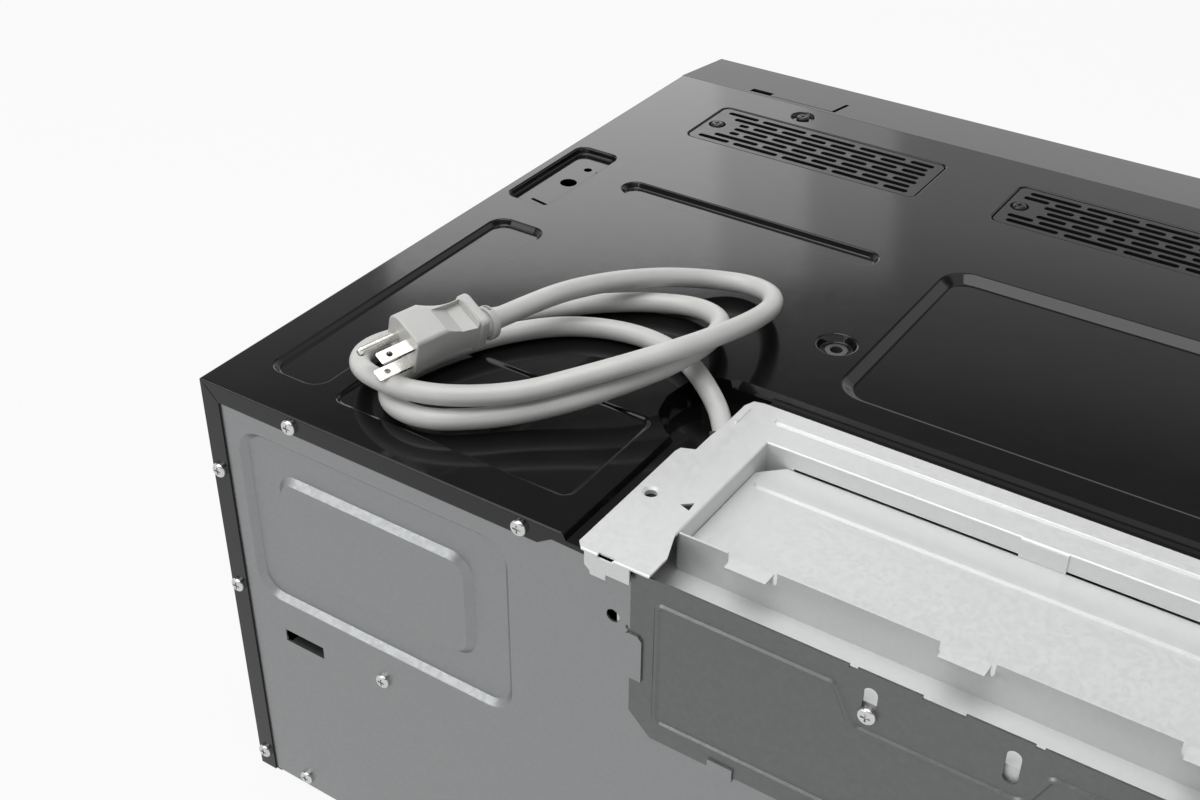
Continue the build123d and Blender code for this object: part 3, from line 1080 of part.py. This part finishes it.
def plug_pins():
    """Two flat blades and the round earth pin."""
    pins = []
    for s in (1, -1):
        blade = Pos(0, s * blade_gap / 2, (4 - blade_l) / 2) * Box(blade_w, blade_t, blade_l + 4)
        blade = chamfer(blade.edges().group_by(Axis.Z)[0], 0.5)
        pins.append(blade - Pos(0, s * blade_gap / 2, 5.5 - blade_l) * Rot(90, 0, 0) * Cylinder(1.5, 5))
    earth = Pos(ground_offset, 0, (4 - ground_l) / 2) * Cylinder(ground_r, ground_l + 4)
    pins.append(fillet(earth.edges().group_by(Axis.Z)[0], 2.0))
    return [plug_plane * pin for pin in pins]


def plug_section(x0, x1, half_w, z, earth_r, r):
    """Cross-section of the plug's body, rounder on the side of the earth pin."""
    shape = Pos((x0 + x1) / 2, 0) * Rectangle(x1 - x0, 2 * half_w)
    shape = fillet(shape.vertices().group_by(Axis.X)[-1], earth_r)
    shape = fillet(shape.vertices().group_by(Axis.X)[0], r)
    return Pos(0, 0, z) * shape


def plug_body():
    """Moulded plug: head, scooped grips, stop and the collar round the cord."""
    head = plug_section(plug_x0, plug_x1, plug_half_w, 0, 8.0, 2.0)
    block = extrude(head, plug_head)
    block = fillet(block.faces().sort_by(Axis.Z)[0].edges(), 0.8)
    stop_x0, stop_x1, stop_w = plug_x0 - 4.0, plug_x1 - 5.5, plug_half_w - 0.8
    grip = loft([plug_section(plug_x0, plug_x1, plug_half_w, plug_head, 8.0, 2.0),
                 plug_section(plug_x0 - 1.0, plug_x1 - 7.0, plug_half_w - 0.4, plug_waist, 5.0, 2.0),
                 plug_section(stop_x0 + 1.0, stop_x1 - 1.5, stop_w, plug_grip, 5.0, 2.0)])
    stop = extrude(plug_section(stop_x0, stop_x1, stop_w, plug_grip, 6.0, 3.0), 4.5)
    stop = fillet(stop.edges().filter_by(Axis.Z, reverse=True), 1.0)
    body = block + grip + stop
    for s in (1, -1):
        scoop = [(plug_half_w + 1, plug_head + 0.6), (plug_half_w - 4.2, plug_waist),
                 (plug_half_w - 4.2, plug_grip - 1.5), (plug_half_w + 1, plug_grip - 0.4)]
        outline = Polygon(*[(s * y, z) for y, z in scoop], align=None)
        body -= extrude(Plane(origin=(stop_x0 - 5, 0, 0), x_dir=(0, 1, 0), z_dir=(1, 0, 0)) * outline,
                        stop_x1 - stop_x0 + 1.0, dir=(1, 0, 0))
    body = plug_plane * body
    run = (route[1] - route[0]).normalized()
    base = plug_plane * Pos((stop_x0 + stop_x1) / 2 - 2, 0, plug_grip + 4) * Circle(7.5)
    neck_r, neck_length, collar_r, collar_width = 6.6, 5.5, 8.2, 4.0
    rings = [Plane(origin=route[0] - run * x, z_dir=run) * Circle(neck_r) for x in (neck_length, 0)]
    body += loft([base, *rings], ruled=True)
    collar = extrude(Plane(origin=route[0] - run * collar_width, z_dir=run) * Circle(collar_r), collar_width)
    collar = fillet(collar.edges(), 0.8)
    middle = Plane(origin=route[0] - run * collar_width / 2, z_dir=run)
    body += collar - middle * Pos(0, -collar_r, 0) * Box(5, 3, 1.6)
    for pin in plug_pins():
        body -= pin
    return body


def cord_bushing():
    """Bushing on the floor of the trough where the cord enters the cabinet."""
    block = lying(Pos(0, -3.0) * Rectangle(14.5, 6.0), top - trough_drop, top - sheet - 0.1)
    block = fillet(block.edges().filter_by(Axis.Z), 1.0)
    return Pos(bushing_x, y_at(bushing_depth), 0) * Rot(0, 0, bushing_turn + 90) * block


# ---------------------------------------------------------------- write every node
for name, node in {
    "outer_wrap": outer_wrap, "rear_panel": rear_panel, "base_pan": base_pan, "front_frame": front_frame,
    "top_trim": top_trim, "blower_top_plate": blower_top_plate, "duct_rear_wall": duct_rear_wall,
    "blower_housing": blower_housing, "duct_floor": duct_floor, "rear_cover_plate": rear_cover_plate,
    "blower_motor": blower_motor, "blower_shaft": blower_shaft, "exhaust_duct": exhaust_duct,
    "oven_cavity": oven_cavity,
    "waveguide": waveguide, "magnetron": magnetron, "hv_transformer": hv_transformer,
    "hv_capacitor": hv_capacitor, "fan_shroud": fan_shroud, "cooling_fan_motor": cooling_fan_motor,
    "cooling_fan_blade": cooling_fan_blade, "turntable_motor": turntable_motor,
    "turntable_coupler": turntable_coupler, "roller_ring": roller_ring, "glass_tray": glass_tray,
    "door_frame": door_frame, "door_choke_panel": door_choke_panel, "door_screen": door_screen,
    "door_glass": door_glass, "door_handle": door_handle, "latch_hooks": latch_hooks,
    "interlock_bracket": interlock_bracket, "control_panel": control_panel,
    "display_window": display_window, "keypad": keypad, "power_cord": power_cord, "plug_body": plug_body,
    "cord_bushing": cord_bushing,
}.items():
    write(name, node())

for name, group in {
    "mount_sockets": mount_sockets, "transformer_coils": transformer_coils, "roller_wheels": roller_wheels,
    "cavity_lamp": cavity_lamp, "hinge_brackets": hinge_brackets, "hinge_pins": hinge_pins,
    "interlock_switches": interlock_switches, "control_board": control_board, "lamp_lenses": lamp_lenses,
    "plug_pins": plug_pins,
}.items():
    write(name, *group())

for name, span in vent_spans.items():
    write(name, vent_grille(*span))
for name, side in {"left": -1, "right": 1}.items():
    write(f"blower_wheel_{name}", blower_wheel(side))
    write(f"grease_filter_{name}", grease_filter(side))
for name in key_spans:
    write(name, push_key(name))
write("waveguide_cover", slab(oven_x1 - 0.8, oven_x1, 254, 336, 120, 188))
write("rear_screws", *[screw(spot, (0, 1, 0)) for spot in rear_spots + [cover_screw_spot]])
write("top_screws", *[screw(spot, (0, 0, 1)) for spot in trim_spots + vent_screw_spots])
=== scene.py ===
"""Looks of the low-profile over-the-range microwave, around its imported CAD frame. Metres."""
import json

import bpy
from mathutils import Matrix, Vector

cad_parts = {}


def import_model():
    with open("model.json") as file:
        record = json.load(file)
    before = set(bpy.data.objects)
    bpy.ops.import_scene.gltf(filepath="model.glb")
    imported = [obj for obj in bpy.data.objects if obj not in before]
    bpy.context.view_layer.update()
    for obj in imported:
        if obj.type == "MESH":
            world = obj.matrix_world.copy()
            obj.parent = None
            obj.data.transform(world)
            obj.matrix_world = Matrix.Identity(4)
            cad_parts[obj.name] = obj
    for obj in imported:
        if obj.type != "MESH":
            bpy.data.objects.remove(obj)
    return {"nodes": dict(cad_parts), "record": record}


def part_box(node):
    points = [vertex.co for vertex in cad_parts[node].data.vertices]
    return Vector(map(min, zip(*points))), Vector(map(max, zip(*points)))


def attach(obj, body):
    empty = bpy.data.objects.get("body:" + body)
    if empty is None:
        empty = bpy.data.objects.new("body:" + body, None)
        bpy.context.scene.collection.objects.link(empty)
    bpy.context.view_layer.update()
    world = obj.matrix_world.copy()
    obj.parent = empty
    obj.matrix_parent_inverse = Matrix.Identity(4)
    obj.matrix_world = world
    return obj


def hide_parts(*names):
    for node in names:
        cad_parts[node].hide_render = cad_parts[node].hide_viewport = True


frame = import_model()
nodes = frame["nodes"]
slot_of = {part["node"]: part["material_slot"] for part in frame["record"]["subparts"]}
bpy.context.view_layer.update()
MM = 0.001

# ---------------------------------------------------------------- camera, as in the photograph
camera_place = Vector((-125.3, 681.75, 674.7)) * MM
picture_right = Vector((-0.8316, -0.5553, 0.0041))
picture_down = Vector((-0.3151, 0.4657, -0.8269))
lens_mm, sensor_mm = 47.58, 36.0

camera = bpy.data.objects.new("camera", bpy.data.cameras.new("camera"))
bpy.context.scene.collection.objects.link(camera)
camera.data.lens, camera.data.sensor_width = lens_mm, sensor_mm
camera.data.clip_start, camera.data.clip_end = 0.05, 50.0
right = picture_right.normalized()
up = (-picture_down - right * (-picture_down).dot(right)).normalized()
turn = Matrix((right, up, right.cross(up))).transposed()
camera.matrix_world = Matrix.Translation(camera_place) @ turn.to_4x4()
bpy.context.scene.camera = camera

# ---------------------------------------------------------------- place worked out from the frame
back_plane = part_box("outer_wrap")[1].y


# ---------------------------------------------------------------- material helpers
texture_span = 0.3, 0.7     # part of a texture's range that is spread over the two shades


class Look:
    """A node material built round one Principled shader."""

    def __init__(self, name, color, roughness, metallic=0.0, **sockets):
        self.material = bpy.data.materials.new(name)
        self.material.use_nodes = True
        self.tree = self.material.node_tree
        self.shader = self.tree.nodes["Principled BSDF"]
        self.set("Base Color", (*color, 1.0))
        self.set("Roughness", roughness)
        self.set("Metallic", metallic)
        for socket, value in sockets.items():
            self.set(socket.replace("_", " "), value)
        self.color = color
        self.place = self.add("ShaderNodeTexCoord").outputs["Object"]
        self.normal = None

    def set(self, socket, value):
        self.shader.inputs[socket].default_value = value

    def add(self, kind, **settings):
        node = self.tree.nodes.new(kind)
        for name, value in settings.items():
            setattr(node, name, value)
        return node

    def link(self, output, socket):
        self.tree.links.new(output, socket)

    def stretched(self, scale):
        """Coordinates stretched along the axes."""
        mapping = self.add("ShaderNodeMapping")
        mapping.inputs["Scale"].default_value = scale
        self.link(self.place, mapping.inputs["Vector"])
        return mapping.outputs["Vector"]

    def noise(self, scale, detail=2.0, stretch=(1, 1, 1), rough=0.5):
        """Soft noise; its scale is in waves to the metre."""
        node = self.add("ShaderNodeTexNoise")
        node.inputs["Scale"].default_value = scale
        node.inputs["Detail"].default_value = detail
        node.inputs["Roughness"].default_value = rough
        self.link(self.stretched(stretch), node.inputs["Vector"])
        return node.outputs["Fac"]

    def cells(self, scale, stretch=(1, 1, 1)):
        """Random grey for each crystal-like cell."""
        node = self.add("ShaderNodeTexVoronoi")
        node.inputs["Scale"].default_value = scale
        self.link(self.stretched(stretch), node.inputs["Vector"])
        bw = self.add("ShaderNodeRGBToBW")
        self.link(node.outputs["Color"], bw.inputs["Color"])
        return bw.outputs["Val"]

    def vary_color(self, source, dark, light):
        """Colour between two shades of the base, following a texture."""
        ramp = self.add("ShaderNodeValToRGB")
        for element, position, shade in zip(ramp.color_ramp.elements, texture_span, (dark, light)):
            element.position = position
            element.color = (*[min(1, c * shade) for c in self.color], 1)
        self.link(source, ramp.inputs["Fac"])
        self.link(ramp.outputs["Color"], self.shader.inputs["Base Color"])

    def vary_roughness(self, source, low, high):
        """Roughness between two values, following a texture."""
        node = self.add("ShaderNodeMapRange")
        for socket, value in zip(("From Min", "From Max", "To Min", "To Max"), (*texture_span, low, high)):
            node.inputs[socket].default_value = value
        self.link(source, node.inputs["Value"])
        self.link(node.outputs["Result"], self.shader.inputs["Roughness"])

    def bump(self, source, depth_mm, strength):
        """Fine relief of the surface, laid over any relief that it has."""
        node = self.add("ShaderNodeBump")
        node.inputs["Strength"].default_value = strength
        node.inputs["Distance"].default_value = depth_mm * MM
        self.link(source, node.inputs["Height"])
        if self.normal:
            self.link(self.normal, node.inputs["Normal"])
        self.normal = node.outputs["Normal"]
        self.link(self.normal, self.shader.inputs["Normal"])


def gloss_paint(name, color=(0.006, 0.006, 0.0065), low=0.07, high=0.12):
    """Black enamel on sheet: nearly mirror-like, with fine orange peel and a few dull patches."""
    look = Look(name, color, 0.1, IOR=1.5, Specular_IOR_Level=0.33)
    look.vary_color(look.noise(55, 5), 0.9, 1.12)
    look.vary_roughness(look.noise(130, 8, rough=0.75), low, high)
    look.bump(look.noise(900, 2), 0.003, 0.4)
    return look.material


def galvanised(name, color, low=0.42, high=0.52, metallic=0.6, mottle=0.03):
    """Zinc-coated sheet: satin, with faint small spangle and slightly uneven sheen."""
    look = Look(name, color, 0.48, metallic)
    look.vary_color(look.noise(380, 8, rough=0.7), 1 - mottle, 1 + mottle)
    look.vary_roughness(look.cells(500), low, high)
    look.bump(look.noise(1400, 3), 0.0015, 0.3)
    return look.material


def rolled_steel(name, color, along, low=0.28, high=0.42):
    """Bare metal, its streaks squeezed along the axes."""
    look = Look(name, color, 0.35, 0.9)
    look.vary_color(look.noise(70, 5, along), 0.93, 1.05)
    look.vary_roughness(look.noise(160, 4, along), low, high)
    look.bump(look.noise(500, 2, along), 0.006, 0.5)
    look.bump(look.noise(25, 2), 0.04, 0.4)
    return look.material


def moulded(name, color, low=0.35, high=0.5, grain=0.02, scale=900):
    """Plastic or enamel with a fine grain, its depth in millimetres."""
    look = Look(name, color, (low + high) / 2)
    look.vary_color(look.noise(45, 4), 0.94, 1.05)
    look.vary_roughness(look.noise(120, 4), low, high)
    look.bump(look.noise(scale, 2), grain, 0.5)
    return look.material


def plated(name, color):
    """Bright plating on small metal pieces."""
    look = Look(name, color, 0.22, 1.0)
    look.vary_color(look.noise(300, 4), 0.92, 1.05)
    look.vary_roughness(look.noise(500, 3), 0.16, 0.3)
    look.bump(look.noise(1500, 2), 0.001, 0.3)
    return look.material


def see_through(name, color, rough, alpha, specks=260):
    """Glass or clear plastic, partly transparent, with a slightly wavy face."""
    look = Look(name, color, rough, Alpha=alpha, IOR=1.5)
    look.vary_roughness(look.noise(specks, 3), rough * 0.7, rough * 1.4 + 0.02)
    look.bump(look.noise(14, 2), 0.03, 0.3)
    return look.material


def circuit(name):
    """Green board with copper tracks."""
    look = Look(name, (0.03, 0.16, 0.07), 0.4)
    look.vary_color(look.cells(260, (1, 0.2, 1)), 0.6, 1.5)
    look.vary_roughness(look.noise(300, 3), 0.3, 0.5)
    look.bump(look.cells(260, (1, 0.2, 1)), 0.03, 0.5)
    return look.material


def perforated(name):
    """Dark sheet with a fine grid of holes."""
    look = Look(name, (0.10, 0.10, 0.105), 0.35, 0.8)
    holes = look.add("ShaderNodeTexVoronoi", feature="F1")
    holes.inputs["Scale"].default_value = 420
    holes.inputs["Randomness"].default_value = 0.0
    look.link(look.stretched((1, 0, 1)), holes.inputs["Vector"])
    look.vary_color(holes.outputs["Distance"], 0.05, 1.3)
    look.vary_roughness(look.noise(200, 2), 0.3, 0.5)
    look.bump(holes.outputs["Distance"], 0.2, 0.6)
    return look.material


materials = {
    "black_paint": gloss_paint("black_gloss_paint"),
    # painted shade: the same steel as the bright sheet, given a darker colour so that back-facing faces
    # such as the rear panel look as dim as they do under the lamps of the photograph
    "galvanised_steel": galvanised("galvanised_sheet", (0.27, 0.277, 0.28), 0.35, 0.41, 0.86),
    "dark_steel": galvanised("dark_galvanised_sheet", (0.145, 0.148, 0.148), 0.32, 0.4, 0.86, 0.06),
    "bright_steel": galvanised("bright_galvanised_sheet", (0.68, 0.685, 0.685), 0.4, 0.5, 0.35, 0.02),
    "black_grille": gloss_paint("grille_paint", (0.012, 0.012, 0.0125), 0.16, 0.24),
    "oven_enamel": moulded("oven_enamel", (0.50, 0.50, 0.49), 0.12, 0.22, 0.03, 300),
    "aluminium_part": rolled_steel("aluminium_sheet", (0.75, 0.75, 0.76), (1, 1, 8)),
    "winding": rolled_steel("enamelled_wire", (0.55, 0.24, 0.10), (1, 1, 30), 0.2, 0.35),
    "mica": moulded("mica_sheet", (0.46, 0.42, 0.34), 0.4, 0.6),
    "circuit_board": circuit("circuit_board"),
    "dark_plastic": moulded("dark_moulded_plastic", (0.022, 0.022, 0.023)),
    "white_plastic": moulded("white_moulded_plastic", (0.66, 0.66, 0.64)),
    "gloss_black_plastic": moulded("gloss_black_plastic", (0.014, 0.014, 0.015), 0.10, 0.2, 0.008, 500),
    "tray_glass": see_through("tray_glass", (0.8, 0.86, 0.85), 0.05, 0.35),
    "door_glass": see_through("smoked_door_glass", (0.012, 0.012, 0.013), 0.04, 0.93),
    "lens_glass": see_through("frosted_lens", (0.85, 0.87, 0.88), 0.35, 0.6, 900),
    "lamp_glass": see_through("lamp_glass", (0.9, 0.9, 0.86), 0.08, 0.5),
    "plated_screw": plated("plated_screw", (0.6, 0.6, 0.595)),
    "handle_metal": gloss_paint("handle_paint", (0.016, 0.016, 0.017)),
    "cord_sheath": moulded("cord_sheath", (0.56, 0.56, 0.545), 0.34, 0.46, 0.02, 700),
    "plug_plastic": moulded("plug_plastic", (0.52, 0.52, 0.505), 0.34, 0.46, 0.03, 500),
    "plug_brass": plated("plug_blades", (0.70, 0.68, 0.64)),
    "bushing_plastic": moulded("bushing_plastic", (0.02, 0.02, 0.02)),
}
for name, node in nodes.items():
    node.data.materials.clear()
    node.data.materials.append(materials[slot_of[name]])
nodes["door_screen"].data.materials[0] = perforated("perforated_screen")
nodes["top_screws"].data.materials[0] = gloss_paint("black_screws", (0.014, 0.014, 0.014), 0.18, 0.3)
nodes["mount_sockets"].data.materials[0] = galvanised("dark_sockets", (0.12, 0.12, 0.12), 0.3, 0.4)

# ---------------------------------------------------------------- power cord
cord_diameter = 10.0
# plug end first: across, forward from the back plane, up
cord_route = [
    (265.5, 78.5, 290.5), (261, 103, 289), (257, 124, 287), (251, 145, 283.5), (243, 166, 279),
    (233, 188, 273), (219, 206, 267.5), (201, 213, 267), (184, 205, 270.5), (173.5, 186, 276.5),
    (170, 161, 282.5), (175, 132, 286.5), (185, 108.5, 287), (199, 89, 284.5), (214, 73.5, 280.5),
    (229.5, 56.5, 277), (247, 41, 276.5), (267, 30, 276.5), (289, 27, 276.5), (311, 35, 273),
    (322, 54, 269), (317, 77, 266), (305, 97, 265.5), (290, 118, 265.5), (272, 139, 265.5),
    (254, 158, 265.5), (233, 173, 265.5), (210, 178.5, 267.5), (190.5, 168, 271), (183, 142, 276),
    (186.5, 115.5, 276.5), (198, 93, 274), (213, 73.5, 269.5), (229.5, 56, 266), (246, 39, 265.5),
    (265, 26, 265.5), (286, 27, 265.5), (298, 43, 265.5), (296, 66, 265.5), (288, 88, 265.5),
    (276, 109, 265.5), (259, 128, 265.5), (237.5, 139, 265.5), (214, 142, 265.5), (190, 134.5, 265.5),
    (172, 123, 262), (162, 117.5, 254.5), (152, 103, 253.5)]


def cord_piece():
    """The cord as one smooth spline along the route of the CAD cord."""
    curve = bpy.data.curves.new("power_cord_curve", "CURVE")
    curve.dimensions = "3D"
    curve.bevel_depth = cord_diameter / 2 * MM
    curve.bevel_resolution = 10
    curve.use_fill_caps = True
    spline = curve.splines.new("NURBS")
    spline.points.add(len(cord_route) - 1)
    for point, (x, depth, z) in zip(spline.points, cord_route):
        point.co = (x * MM, back_plane - depth * MM, z * MM, 1.0)
    spline.order_u = 3
    spline.use_endpoint_u = True
    spline.resolution_u = 14
    piece = bpy.data.objects.new("flex_cord", curve)
    bpy.context.scene.collection.objects.link(piece)
    curve.materials.append(materials["cord_sheath"])
    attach(piece, "cabinet")
    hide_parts("power_cord")
    x, depth, z = cord_route[-1]
    return piece


cord_piece()


# ---------------------------------------------------------------- floor, backdrop and light
def seen_share(tree, share):
    """The share for camera, glossy and transmission rays, and none for the light that falls on things."""
    path = tree.nodes.new("ShaderNodeLightPath")
    total = path.outputs["Is Camera Ray"]
    for kind in ("Is Glossy Ray", "Is Transmission Ray"):
        add = tree.nodes.new("ShaderNodeMath")
        add.operation = "ADD"
        add.use_clamp = True
        tree.links.new(total, add.inputs[0])
        tree.links.new(path.outputs[kind], add.inputs[1])
        total = add.outputs["Value"]
    scaled = tree.nodes.new("ShaderNodeMath")
    scaled.operation = "MULTIPLY"
    scaled.inputs[1].default_value = share
    tree.links.new(total, scaled.inputs[0])
    return scaled.outputs["Value"]


def background_white(name, color, share):
    """Pale surface that also shows white to the camera and in gloss, and keeps part of its shadow."""
    look = Look(name, color, 0.8)
    light = look.add("ShaderNodeEmission")
    light.inputs["Strength"].default_value = 1.0
    mix = look.add("ShaderNodeMixShader")
    look.link(seen_share(look.tree, share), mix.inputs["Fac"])
    look.link(look.shader.outputs["BSDF"], mix.inputs[1])
    look.link(light.outputs["Emission"], mix.inputs[2])
    look.link(mix.outputs["Shader"], look.tree.nodes["Material Output"].inputs["Surface"])
    return look.material


def floor():
    mesh = bpy.data.meshes.new("floor")
    half = 6.0
    corners = [(-half, -half, 0), (half, -half, 0), (half, half, 0), (-half, half, 0)]
    mesh.from_pydata(corners, [], [(0, 1, 2, 3)])
    mesh.materials.append(background_white("pale_floor", (0.6, 0.6, 0.6), 0.9))
    piece = bpy.data.objects.new("floor", mesh)
    bpy.context.scene.collection.objects.link(piece)


def area_light(name, place, target, size, watts):
    data = bpy.data.lights.new(name, "AREA")
    data.shape = "RECTANGLE"
    data.size, data.size_y = size
    data.energy = watts
    lamp = bpy.data.objects.new(name, data)
    bpy.context.scene.collection.objects.link(lamp)
    lamp.location = place
    lamp.rotation_euler = (Vector(target) - Vector(place)).to_track_quat("-Z", "Y").to_euler()


def world():
    """A pale room: white to the camera, and in gloss white below and overhead with a dark band between."""
    scene_world = bpy.data.worlds.new("studio")
    bpy.context.scene.world = scene_world
    scene_world.use_nodes = True
    tree = scene_world.node_tree
    links = tree.links
    coord = tree.nodes.new("ShaderNodeTexCoord")
    parts = tree.nodes.new("ShaderNodeSeparateXYZ")
    links.new(coord.outputs["Generated"], parts.inputs["Vector"])

    def by_height(stops):
        ramp = tree.nodes.new("ShaderNodeValToRGB")
        ramp.color_ramp.interpolation = "EASE"
        while len(ramp.color_ramp.elements) < len(stops):
            ramp.color_ramp.elements.new(0.5)
        for element, (position, value) in zip(ramp.color_ramp.elements, stops):
            element.position, element.color = position, (value, value, value, 1)
        links.new(parts.outputs["Z"], ramp.inputs["Fac"])
        return ramp.outputs["Color"]

    def mixed(factor, first, second):
        """Colour between the two, or between the first and white."""
        mix = tree.nodes.new("ShaderNodeMix")
        mix.data_type = "RGBA"
        factor_in, first_in, second_in = mix.inputs[0], mix.inputs[6], mix.inputs[7]
        links.new(factor, factor_in)
        links.new(first, first_in)
        if second is None:
            second_in.default_value = (1, 1, 1, 1)
        else:
            links.new(second, second_in)
        return mix.outputs[2]

    room = by_height([(0.0, 0.3), (0.4, 0.3), (1.0, 0.4)])
    backdrop = by_height([(0.0, 1.0), (0.44, 1.0), (0.51, 0.5), (0.57, 0.16), (0.70, 0.16), (0.82, 1.0)])
    path = tree.nodes.new("ShaderNodeLightPath")
    color = mixed(seen_share(tree, 1.0), room, backdrop)
    color = mixed(path.outputs["Is Camera Ray"], color, None)
    links.new(color, tree.nodes["Background"].inputs["Color"])
    tree.nodes["Background"].inputs["Strength"].default_value = 1.0


floor()
world()
area_light("overhead", (0.5, 0.6, 2.5), (0.05, 0.1, 0.2), (2.0, 2.0), 42)
# strips that get dimmer towards the left of the front, so that the gloss fades out softly
front_strips = [(0.09, 0.93, 5.2), (-0.5, 0.25, 0.95), (-0.75, 0.25, 0.45)]     # aside, width, watts
for number, (aside, width, watts) in enumerate(front_strips):
    shift = Vector((0.8, 0.6, 0.0)) * aside
    strip_place, strip_target = Vector((2.15, -2.66, 1.7)) + shift, Vector((0.15, 0.04, 0.26)) + shift
    area_light(f"front_softbox_{number}", strip_place, strip_target, (width, 0.85), watts)
area_light("back_softbox", (1.5, 2.1, 1.35), (0.2, 0.26, 0.15), (1.5, 1.0), 15)

bpy.context.scene.view_settings.view_transform = "Standard"
